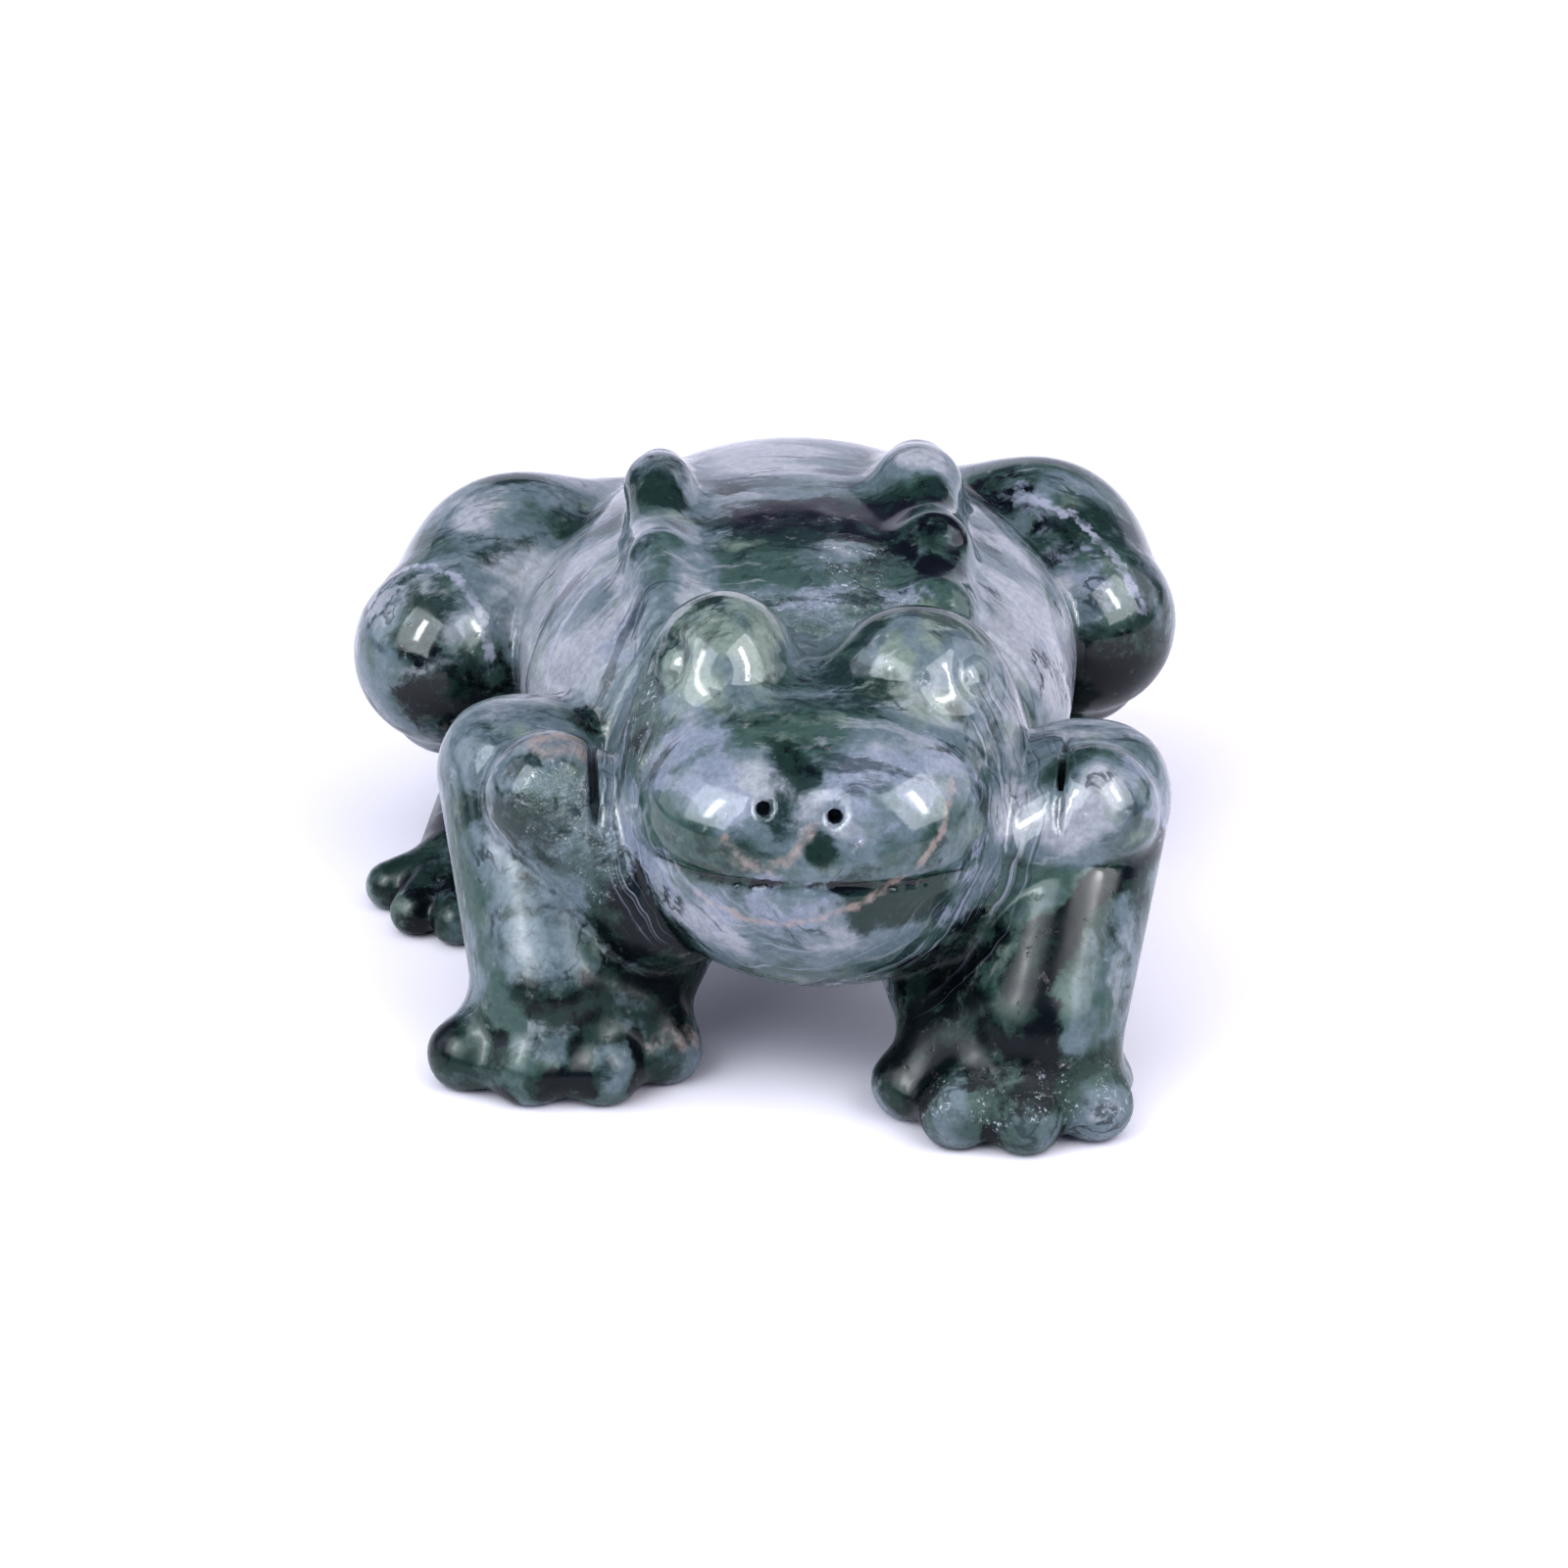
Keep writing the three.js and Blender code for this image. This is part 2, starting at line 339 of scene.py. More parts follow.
def lip_line(points):
    """Height above the lip line, which runs round the jaw, and how strongly it shows there."""
    local = (points - np.asarray(JAW_CENTRE, np.float32)) @ turn(HEAD_YAW)
    angle = np.degrees(np.arctan2(local[:, 0] * JAW_RADII[1] / JAW_RADII[0], -local[:, 1]))
    height = points[:, 2] - MOUTH_HEIGHT - MOUTH_BOW * np.cos(np.radians(angle))
    return height, np.clip((MOUTH_HALF_ANGLE - np.abs(angle)) / MOUTH_FADE, 0, 1) * (local[:, 1] < 0)


def mouth(points, field):
    """A shallow groove along the lip line, under an upper lip that stands slightly proud."""
    height, fade = lip_line(points)
    groove = MOUTH_DEPTH * bump(height, MOUTH_WIDTH)
    lip = LIP_BULGE * bump(height - LIP_RISE, LIP_WIDTH)
    return field + fade * (groove - lip)


def eye_rings(points, field):
    for centre, facing, radius, depth, bulge in EYE_RINGS:
        facing = unit(facing)
        offset = points - np.asarray(centre, np.float32)
        out = offset @ facing
        distance = np.sqrt(np.maximum((offset * offset).sum(1) - out * out, 0))
        near = bump(out, RING_REACH)
        field = field + near * depth * bump(distance - radius, RING_WIDTH)
        field = field - near * bulge * bump(distance, radius * BULGE_SHARE)
    return field


def nostrils(points, field):
    axis = unit(NOSTRIL_AXIS)
    for place in NOSTRILS:
        place = np.asarray(place, np.float32)
        start = place + NOSTRIL_START * axis
        end = place - NOSTRIL_DEPTH * axis
        drill = round_cone(points, start, end, *NOSTRIL_RADII)
        field = keep_both(field, -drill, NOSTRIL_BLEND)
    return field


def hand(points, leg):
    field = ellipsoid(points, leg["palm"], PALM_RADII)
    for tip in leg["fingers"]:
        field = join(field, round_cone(points, leg["knuckle"], tip, *FINGER_RADII), FINGER_BLEND)
    return field


def forearm(points, leg):
    field = round_cone(points, leg["elbow_back"], leg["wrist"], *FOREARM_RADII)
    field = keep_both(field, points[:, 2] - leg["flat_top"], FLAT_TOP_BLEND)
    field = join(field, round_cone(points, *leg["web"], *WEB_RADII), WEB_BLEND)
    return join(field, hand(points, leg), HAND_BLEND)


def upper_arm(points, leg):
    return round_cone(points, leg["shoulder"], leg["elbow_front"], *UPPER_ARM_RADII)


def hind_leg(points, leg):
    thigh = chain(points, [leg["hip"], leg["thigh"], leg["knee"]], THIGH_RADII, THIGH_BLEND)
    shin = round_cone(points, leg["shin"], leg["ankle"], *SHIN_RADII)
    foot = round_cone(points, leg["heel"], leg["sole"], *FOOT_RADII)
    for tip in leg["toes"]:
        foot = join(foot, round_cone(points, leg["sole"], tip, *TOE_RADII), TOE_BLEND)
    return join(join(thigh, shin, KNEE_BLEND), foot, FOOT_BLEND)


def frog(points):
    """The whole carving."""
    skull = head(points)
    body = neck_rings(points, trunk(points), skull)
    for leg in FORELEGS:
        body = join(body, forearm(points, leg), FOREARM_BLEND)
        body = join(body, upper_arm(points, leg), CREASE_BLEND)
    for centre, radius, half_width, yaw in SLITS:
        cut = ellipsoid(points, centre, (half_width, radius, radius), turn(yaw))
        body = keep_both(body, -cut, SLIT_BLEND)
    skull = nostrils(points, eye_rings(points, mouth(points, skull)))
    body = join(body, skull, HEAD_BLEND)
    for leg in HIND_LEGS:
        body = join(body, hind_leg(points, leg), LEG_BLEND)
    return keep_both(body, -points[:, 2], SOLE_BLEND)


# ---------------------------------------------------------------------------------------------------------
# From field to mesh
# ---------------------------------------------------------------------------------------------------------
def field_grid(field, low, high, voxel):
    """The field on a regular grid. Blocks far from the surface get one value each."""
    low = np.array(low)
    count = np.ceil((np.array(high) - low) / voxel / BLOCK).astype(int)
    middles = [low[i] + voxel * (np.arange(count[i]) * BLOCK + (BLOCK - 1) / 2) for i in range(3)]
    centres = np.stack(np.meshgrid(*middles, indexing="ij"), -1).reshape(-1, 3)
    coarse = field(centres.astype(np.float32))
    side = voxel * BLOCK
    grid = np.empty(count * BLOCK, np.float32)
    blocks = grid.reshape(count[0], BLOCK, count[1], BLOCK, count[2], BLOCK)
    blocks[...] = np.where(coarse > 0, side, -side).reshape(count[0], 1, count[1], 1, count[2], 1)
    near = np.where(np.abs(coarse) < side * BLOCK_REACH + BLOCK_MARGIN)[0]
    inner = np.stack(np.meshgrid(*[np.arange(BLOCK)] * 3, indexing="ij"), -1).reshape(-1, 3)
    for first in range(0, len(near), BLOCK_BATCH):
        corner = np.stack(np.unravel_index(near[first:first + BLOCK_BATCH], tuple(count)), 1)
        index = (corner[:, None, :] * BLOCK + inner[None]).reshape(-1, 3)
        grid[tuple(index.T)] = field((low + index * voxel).astype(np.float32))
    return grid


def surface(field, low, high, voxel):
    """Points and quads of the zero surface, each point moved onto it along the field's slope."""
    grid = openvdb.FloatGrid(float(voxel * BLOCK))
    grid.copyFromArray(field_grid(field, low, high, voxel))
    points, quads = grid.convertToQuads(0.0)[:2]
    points = points * voxel + np.array(low)
    for _ in range(SNAP_ROUNDS):
        here = points.astype(np.float32)
        slopes = []
        for axis in np.eye(3, dtype=np.float32) * SLOPE_STEP:
            slopes.append((field(here + axis) - field(here - axis)) / (2 * SLOPE_STEP))
        slope = np.stack(slopes, 1)
        move = field(here) / np.maximum((slope**2).sum(1), SLOPE_FLOOR)
        points = points - slope * np.clip(move, -SNAP_LIMIT * voxel, SNAP_LIMIT * voxel)[:, None]
    return points, quads


def carving():
    """The frog as one smooth-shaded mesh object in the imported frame."""
    voxel = VOXEL
    points, quads = surface(frog, FIELD_LOW, FIELD_HIGH, voxel)
    points[:, 2] = np.maximum(points[:, 2], 0)
    mesh = bpy.data.meshes.new("jade_frog")
    mesh.from_pydata(((points + SHIFT) * MM).tolist(), [], quads[:, ::-1].tolist())
    mesh.polygons.foreach_set("use_smooth", [True] * len(mesh.polygons))
    mesh.update()
    paint(mesh, points)
    piece = bpy.data.objects.new("jade_frog", mesh)
    bpy.context.collection.objects.link(piece)
    return piece


# ---------------------------------------------------------------------------------------------------------
# Stains: where the stone changes colour, and a few marks of painted shade and painted reflection.
# The mesh carries them as soft masks; the material breaks up
# their edges. Many of the places were found by a separate program that cast points, picked in the
# photograph, onto the carving. The long tan arc is its output unchanged, and so are most vein points.
# (kind, radius, strength, places that the mark runs through)
# ---------------------------------------------------------------------------------------------------------
STAINS_AND_PAINTED_LIGHT = [
    ("rings", 4.2, 1.0, [(-10.5, -24, 24), (-9.5, -28, 20), (-7, -32, 15), (-2.5, -34, 12),
                         (2, -34.5, 11), (8, -34, 12), (13, -31, 17), (15.5, -27, 21.5),
                         (15.5, -22.5, 25.5), (15, -18, 27)]),
    ("green", 2.6, 0.4, [(-2, -26, 28.5), (2, -28, 28), (7, -26, 28)]),
    ("green", 2.4, 0.4, [(-0.5, -29.5, 27.5), (4.5, -29.5, 27)]),
    ("dark", 0.8, 0.7, [(-3, -26.5, 27.5), (1, -28.5, 27.5), (4.5, -30.5, 27)]),
    ("dark", 1.0, 0.8, [(0, -31.5, 27), (2, -33.5, 26)]),
    ("olive", 4.2, 1.0, [(-4.5, -20.5, 32.5), (-4.5, -24.5, 29.5)]),
    ("olive", 4.2, 1.0, [(10, -20, 31.5), (9.5, -24, 29)]),
    ("pale", 4.2, 0.25, [(-4.5, -20.5, 32.5), (-4.5, -24.5, 29.5)]),
    ("pale", 4.2, 0.25, [(10, -20, 31.5), (9.5, -24, 29)]),
    ("pale", 1.8, 0.5, [(-4, -21.5, 33.5)]),
    ("pale", 1.8, 0.4, [(10.5, -20.5, 32)]),
    ("green", 0.9, 0.9, [(-8.5, -22, 31), (-5, -19.5, 33.5), (-1.5, -21.5, 31)]),
    ("green", 0.9, 1.2, [(7, -20.5, 31), (10.5, -18, 32.5), (14, -20, 30.5)]),
    ("blue", 3.0, 0.9, [(-9.5, -27.5, 20.5), (-8, -30.5, 17.5)]),
    ("blue", 3.4, 0.9, [(12.5, -29.5, 19.5), (10.5, -31.5, 17)]),
    ("pale", 7.0, 0.7, [(-15, -6, 25), (-17, 3, 23)]),
    ("pale", 7.0, 0.6, [(18.5, -6, 24), (20, 3, 22)]),
    # The next four rows, blue-grey ovals on the muzzle pads: partly the stone's own lavender, partly
    # painted reflection of the overhead light.
    ("pale", 3.0, 0.35, [(-3.5, -33, 25.5), (-7, -29.5, 26)]),
    ("pale", 3.2, 0.35, [(5.5, -34.5, 25), (7.5, -33.5, 26), (10, -31, 26)]),
    ("blue", 3.2, 1.0, [(-3.5, -33, 25.5), (-7, -29.5, 26)]),
    ("blue", 3.4, 1.0, [(5.5, -34.5, 25), (7.5, -33.5, 26), (10, -31, 26)]),
    ("rough", 2.2, 1.4, [(-10, -22.5, 26.5), (-9.5, -25, 25.5), (-9, -27, 25)]),
    ("dark", 1.9, 0.7, [(-9.5, -25.5, 25.5)]),
    ("tan", 0.75, 0.8, [(-3.9, -35.4, 22.6), (-2.9, -35.8, 21.3), (-1.3, -36.1, 20.9), (0.4, -36.1, 21.6)]),
    ("tan", 0.7, 0.8, [(0.4, -36.1, 21.6), (1.5, -35.5, 22.9), (2.1, -35.1, 23.6)]),
    ("green", 1.3, 1.0, [(2.5, -36, 22)]),
    ("dark", 0.9, 0.5, [(2.5, -36, 22)]),
    ("blue", 1.8, 0.6, [(-7, -32.5, 21)]),
    ("blue", 2.2, 1.0, [(1.5, -36.5, 18.5), (-0.5, -36, 18.5)]),
    ("green", 2.0, 1.0, [(9.5, -34.5, 18), (6, -36, 18)]),
    ("pale", 2.6, 0.5, [(-8, -32, 17), (-4.5, -34, 15.5)]),
    ("blue", 2.6, 0.7, [(-8, -32, 17), (-4.5, -34, 15.5)]),
    ("tan", 0.35, 1.0, [(10.5, -26.8, 27), (11.2, -29.9, 26.1), (11.5, -32.6, 25.2), (10.9, -35, 23),
                        (9, -36, 20.8), (6.4, -36.5, 19), (3.4, -36.8, 17.6), (0, -36.5, 16.7),
                        (-3, -35.5, 16.8), (-5.7, -34.1, 17.7), (-7.4, -32.7, 19.3)]),
    ("blue", 2.2, 0.8, [(12.5, -29, 24)]),
    ("green", 1.6, 0.7, [(11.5, -25, 27)]),
    ("pale", 2.4, 0.9, [(15.5, -27.5, 21)]),
    ("dark", 3.4, 0.9, [(-1.5, 0, 31.5), (3, 1, 31.5), (6.5, 2, 31.5), (7.5, -4, 31)]),
    ("rough", 2.6, 1.0, [(5, -5, 31.5), (5.5, -9, 31)]),
    ("pale", 1.6, 0.7, [(5, -5, 31.5)]),
    ("blue", 3.0, 0.8, [(-2, -12, 30.5), (2, -12.5, 30), (8, -12, 30)]),
    ("rough", 2.4, 0.8, [(-2, -13, 30), (2, -13, 30), (8, -12.5, 29.5)]),
    ("pale", 5.0, 0.8, [(-1.5, 15, 30.5)]),
    ("green", 1.8, 0.9, [(-9, 3, 32.5)]),
    ("pale", 1.8, 0.9, [(-6.5, -6.5, 30.5), (-6.5, -10, 29.5)]),
    ("pale", 2.6, 0.8, [(10, 8.5, 33.5)]),
    ("dark", 1.7, 1.0, [(11, 3.5, 32.5)]),
    ("dark", 2.2, 1.0, [(11.5, -3, 32), (11.5, -7, 31)]),
    ("pale", 2.0, 0.7, [(-13, 2.5, 28.5)]),
    ("green", 2.4, 0.6, [(-15, 13.5, 26)]),
    ("blue", 3.0, 0.5, [(-11.5, -11.5, 27.5)]),
    ("blue", 3.0, 0.7, [(19.5, -4.5, 23.5)]),
    ("pale", 3.6, 0.8, [(-24, 15, 27)]),
    ("green", 2.4, 0.8, [(-26.5, 13.5, 25)]),
    ("green", 2.4, 0.6, [(-21, 19, 26.5)]),
    ("dark", 2.0, 0.6, [(-27, 1.5, 20.5)]),
    ("dark", 3.2, 0.9, [(-26.5, 1, 16), (-21.5, 2.5, 18)]),
    ("pale", 2.0, 0.8, [(-30, 5.5, 22)]),
    ("dark", 3.0, 0.7, [(16, 19, 26.5), (19.5, 13, 24)]),
    ("green", 3.0, 0.9, [(23, 15.5, 25.5)]),
    ("blue", 1.7, 1.0, [(18.5, 17.5, 26.5), (21.5, 12.5, 24), (24.5, 9, 22)]),
    # Dark on the underside of the right knee: painted shade.
    ("dark", 5.0, 1.1, [(21, 10, 16), (25, 8, 14.5), (24, 14, 13)]),
    ("tan", 1.8, 0.9, [(-16.5, -22, 24), (-14.5, -22, 23.5)]),
    ("dark", 1.6, 0.8, [(-14, -15.5, 22.5)]),
    ("rough", 3.0, 0.6, [(-16, -25.5, 20.5), (-13.5, -27.5, 16.5)]),
    # Dark in the hollow under the chin beside the left arm: painted shade.
    ("dark", 4.2, 1.0, [(-9.5, -29.5, 13.5), (-8.5, -27, 8)]),
    ("dark", 2.6, 0.7, [(-16.5, -30.5, 8), (-12, -29, 7)]),
    ("dark", 2.0, 0.9, [(-24.5, -29, 4)]),
    ("dark", 1.6, 0.9, [(-16.5, -32.5, 2), (-10, -29.5, 1.5)]),
    ("tan", 1.0, 0.7, [(-9.5, -29, 4), (-6.5, -28, 3.5)]),
    ("pale", 2.6, 0.5, [(22, -27.5, 23), (20, -28.5, 20)]),
    ("green", 2.0, 0.6, [(20, -25.5, 23.5)]),
    ("blue", 2.4, 0.9, [(25, -26, 22.5), (26.5, -23, 19)]),
    ("dark", 1.2, 1.0, [(26.5, -24, 17), (22, -30, 16.5), (18.5, -32.5, 13.5)]),
    ("dark", 1.9, 1.1, [(18.5, -32.5, 13.5), (17, -34.5, 11), (17.5, -37, 7.5)]),
    ("dark", 2.4, 1.0, [(17.5, -37, 6), (16.5, -38.5, 4.5), (13, -35.5, 7.5)]),
    ("dark", 4.0, 1.0, [(9.5, -34.5, 4.5), (11, -32.5, 8), (10.5, -29, 12)]),
    ("dark", 2.2, 0.9, [(13.5, -36, 6.5), (15.5, -38.5, 4)]),
    ("green", 2.0, 0.9, [(19.5, -37, 4.5), (22.5, -35, 5)]),
    # Thin dark lines down the grooves between the fingers: painted shade.
    ("dark", 0.9, 1.2, [(-19.5, -32, 0.5), (-19.5, -30, 4.5)]),
    ("dark", 0.9, 1.2, [(-14, -33, 1.5), (-14.5, -30.5, 5)]),
    ("dark", 0.9, 1.2, [(-10.5, -31.5, 1.5), (-11, -29, 5)]),
    ("dark", 0.8, 1.2, [(10, -36.5, 1), (12, -34, 5.5)]),
    ("dark", 0.8, 1.2, [(14.5, -39, 1), (15, -36, 6)]),
    ("dark", 0.8, 1.2, [(19, -38.5, 1), (18, -35.5, 6)]),
    ("green", 3.0, 0.4, [(21.5, -30, 9), (22, -27, 14)]),
    ("rough", 2.6, 1.0, [(11, -38.5, 3.5), (16.5, -39, 3.5), (22.5, -37, 4)]),
    ("green", 2.6, 0.8, [(9.5, -34, 4)]),
    ("dark", 2.6, 0.8, [(12.5, -31.5, 13.5), (14.5, -30.5, 12)]),
    ("dark", 4.5, 0.8, [(-28.5, -4, 3), (-24, -1, 4), (-25, 8, 6)]),
    ("vein", 0.34, 1.0, [(-9.5, -5.2, 31.4), (-11.1, -2.2, 29.6), (-12.6, -2, 28.5), (-14.5, -3.1, 27.2),
                         (-16.1, -5, 25.4), (-17, -6.5, 24), (-17.3, -8, 22.7)]),
    ("vein", 0.28, 0.8, [(-10.2, 2, 30.4), (-12.4, 4.8, 29.2), (-14.6, 4.4, 27.5), (-16.3, 2.2, 26.1),
                         (-17.6, -0.4, 24.5), (-18.4, -2, 22)]),
    ("green", 2.2, 0.6, [(-27.5, 2.5, 22)]),
    ("vein", 0.5, 0.9, [(-31, 6.9, 21.9), (-30.4, 8.8, 22.7), (-28.7, 8.9, 23.9), (-26.4, 7.7, 24.7),
                        (-24.3, 5.9, 24.4), (-22.8, 4, 23), (-22.1, 2.5, 20.8), (-22, 2.2, 18.5)]),
    ("vein", 0.55, 0.9, [(18.6, 17.2, 26.4), (22.4, 15.6, 25.5), (24.5, 12.7, 24.1), (25.9, 10.6, 22.5),
                         (27, 9.7, 20.5)]),
    ("vein", 0.3, 0.7, [(12.8, 6, 29), (17.6, 3, 26), (20, -1, 23), (20.2, -6, 20)]),
]
MASK_ATTRIBUTES = {
    "marks_a": ("dark", "green", "olive"),
    "marks_b": ("blue", "tan", "rough"),
    "marks_c": ("pale", "rings", "vein"),
}
MARK_SOFTNESS = 0.9  # how much of a mark's radius its edge takes
LIP_SHADE_WIDTH = 0.35
LIP_SHADE_FRONT = -24.0  # the painted shade along the mouth groove shows only in front of this


def path_distance(points, places):
    """Distance from each point to a line through the places."""
    if len(places) == 1:
        return np.linalg.norm(points - np.asarray(places[0], np.float32), axis=1)
    links = [round_cone(points, places[i], places[i + 1], 0, 0) for i in range(len(places) - 1)]
    return np.min(links, axis=0)


def stain_and_painted_light_masks(points):
    """One mask for each kind of stain, painted shade and painted reflection included, from 0 to about 1."""
    all_kinds = [kind for kinds in MASK_ATTRIBUTES.values() for kind in kinds]
    masks = {kind: np.zeros(len(points), np.float32) for kind in all_kinds}
    for kind, radius, strength, places in STAINS_AND_PAINTED_LIGHT:
        distance = path_distance(points, places)
        edge = np.clip((radius - distance) / (radius * MARK_SOFTNESS) + 0.5, 0, 1)
        masks[kind] = np.maximum(masks[kind], strength * edge * edge * (3 - 2 * edge))
    # Painted shade: the mouth groove is darkened along the lip line, in the dark mask.
    height, fade = lip_line(points)
    lip = fade * bump(height, LIP_SHADE_WIDTH) * (points[:, 1] < LIP_SHADE_FRONT)
    masks["dark"] = np.maximum(masks["dark"], lip)
    return masks


def paint(mesh, points):
    """Stores the masks of stains, painted shade and painted reflection on the mesh, three to an attribute.
    """
    masks = stain_and_painted_light_masks(points.astype(np.float32))
    for name, kinds in MASK_ATTRIBUTES.items():
        values = np.zeros((len(points), 4), np.float32)
        for channel, kind in enumerate(kinds):
            values[:, channel] = masks[kind]
        attribute = mesh.attributes.new(name, "FLOAT_COLOR", "POINT")
        attribute.data.foreach_set("color", values.ravel())


# ---------------------------------------------------------------------------------------------------------
# The jade
# ---------------------------------------------------------------------------------------------------------
def srgb(red, green, blue):
    """A colour given as it looks on screen, 0 to 255, as linear RGBA."""
    linear = []
    for value in (red, green, blue):
        share = value / 255
        linear.append(share / 12.92 if share <= 0.04045 else ((share + 0.055) / 1.055) ** 2.4)
    return (*linear, 1.0)


class Graph:
    """Short names for the shader nodes that the jade uses."""

    def __init__(self, tree):
        self.tree = tree

    def node(self, kind, **settings):
        made = self.tree.nodes.new(kind)
        for name, value in settings.items():
            setattr(made, name, value)
        return made

    def plug(self, value, socket):
        if isinstance(value, bpy.types.NodeSocket):
            self.tree.links.new(value, socket)
        else:
            socket.default_value = value

    def math(self, operation, a, b=0.0, c=0.0):
        made = self.node("ShaderNodeMath", operation=operation)
        for value, socket in zip((a, b, c), made.inputs):
            self.plug(value, socket)
        return made.outputs[0]

    def vector(self, operation, a, b=(0, 0, 0), scale=1.0):
        made = self.node("ShaderNodeVectorMath", operation=operation)
        self.plug(a, made.inputs[0])
        self.plug(b, made.inputs[1])
        self.plug(scale, made.inputs[3])
        return made.outputs["Value" if operation == "LENGTH" else "Vector"]

    def mapping(self, vector, place=(0, 0, 0), rotation=(0, 0, 0), scale=(1, 1, 1), kind="POINT"):
        made = self.node("ShaderNodeMapping", vector_type=kind)
        self.plug(vector, made.inputs["Vector"])
        made.inputs["Location"].default_value = place
        made.inputs["Rotation"].default_value = [math.radians(angle) for angle in rotation]
        made.inputs["Scale"].default_value = scale
        return made.outputs[0]

    def noise(self, vector, scale, detail=3.0, roughness=0.5, output="Factor"):
        made = self.node("ShaderNodeTexNoise", noise_dimensions="3D")
        self.plug(vector, made.inputs["Vector"])
        self.plug(scale, made.inputs["Scale"])
        self.plug(detail, made.inputs["Detail"])
        self.plug(roughness, made.inputs["Roughness"])
        return made.outputs[0 if output == "Factor" else 1]

    def step(self, value, low, high, floor=0.0, ceiling=1.0):
        """A smooth step from floor to ceiling as value goes from low to high."""
        made = self.node("ShaderNodeMapRange", interpolation_type="SMOOTHSTEP")
        for item, socket in zip((value, low, high, floor, ceiling), made.inputs):
            self.plug(item, socket)
        return made.outputs[0]

    def mix(self, factor, a, b):
        made = self.node("ShaderNodeMix", data_type="RGBA", clamp_factor=True)
        self.plug(factor, made.inputs["Factor"])
        self.plug(a, made.inputs["A"])
        self.plug(b, made.inputs["B"])
        return next(output for output in made.outputs if output.type == "RGBA")

    def channels(self, name):
        """The three masks kept in one mesh attribute."""
        attribute = self.node("ShaderNodeAttribute", attribute_name=name)
        split = self.node("ShaderNodeSeparateColor")
        self.plug(attribute.outputs["Color"], split.inputs[0])
        return list(split.outputs)


# The stone's colours, as they look in even light
MID_GREEN = srgb(64, 86, 80)
BLUE_GREY = srgb(100, 115, 121)
PALE = srgb(158, 162, 168)
PALE_GREEN = srgb(122, 136, 124)
FOREST = srgb(24, 46, 40)
NEAR_BLACK = srgb(6, 16, 20)
LAVENDER = srgb(134, 142, 157)
TAN = srgb(164, 148, 140)
WHITE_FLECK = srgb(216, 224, 232)
LINE_PALE = srgb(160, 164, 178)
LINE_DARK = srgb(30, 44, 48)

# The beds of the stone face forwards and a little up: degrees about X, Y and Z
BEDDING_TURN = (-62.0, 0.0, 4.0)

# The rings round the jaw lie on long ellipsoids that run back through the head
RING_CENTRE = (0.7, -23.5, 19.5)
RING_TURN = (-25, 0, 0)
RING_RADII = (10.4, 40, 10.4)
RING_DENSITY = 26.0  # how finely the noise that draws the rings varies from one ellipsoid to the next

# The gloss. By choice the stone is duller low down, on the legs and hands, below SATIN_TOP.
POLISH = (0.07, 0.17)  # least and most roughness where nothing dulls it
SATIN_TOP = 20.0
SATIN_FADE = 6.0
SATIN_ROUGHNESS = 0.14
PIT_ROUGHNESS = 0.22
GLOSS = 0.36
SATIN_GLOSS = -0.16
STONE_IOR = 1.62
GLOW = 0.12
GLOW_RADIUS = (0.8, 1.0, 0.95)
GLOW_DEPTH = 1.2
WAVE_HEIGHT = 0.05
PIT_HEIGHT = 0.16
FLECK_STRENGTH = 0.75


def warped(g, place, amount, scale, detail=2.0):
    """Points pushed about by noise, so that nothing follows a perfect curve."""
    push = g.vector("SUBTRACT", g.noise(place, scale, detail, output="Color"), (0.5, 0.5, 0.5))
    return g.vector("ADD", place, g.vector("SCALE", push, scale=amount))


def pushed(g, value, *pushes):
    """Noise pushed up or down by masks. Each push is (mask, how much)."""
    for mask, amount in pushes:
        value = g.math("MULTIPLY_ADD", mask, amount, value)
    return value


def streaks(g, colour, bedding, place):
    """Thin pale and dark streaks that flow along the beds, here and there."""
    beds = g.noise(g.mapping(bedding, scale=(0.08, 0.08, 0.55)), 1.0, 7.0, 0.66)
    patchy = g.step(g.noise(place, 0.12, 2.0), 0.38, 0.56)
    light = g.math("MULTIPLY", g.step(beds, 0.57, 0.64, 0.0, 0.5), patchy)
    shade = g.math("MULTIPLY", g.step(beds, 0.44, 0.37, 0.0, 0.65), patchy)
    colour = g.mix(shade, g.mix(light, colour, PALE), LINE_DARK)
    crossing = g.noise(g.mapping(bedding, scale=(0.07, 0.10, 0.24)), 1.0, 5.0, 0.58)
    thread = g.step(g.math("ABSOLUTE", g.math("SUBTRACT", crossing, 0.5)), 0.020, 0.004)
    where = g.step(g.noise(place, 0.16, 2.0), 0.50, 0.62, 0.0, 0.75)
    return g.mix(g.math("MULTIPLY", thread, where), colour, LINE_DARK)


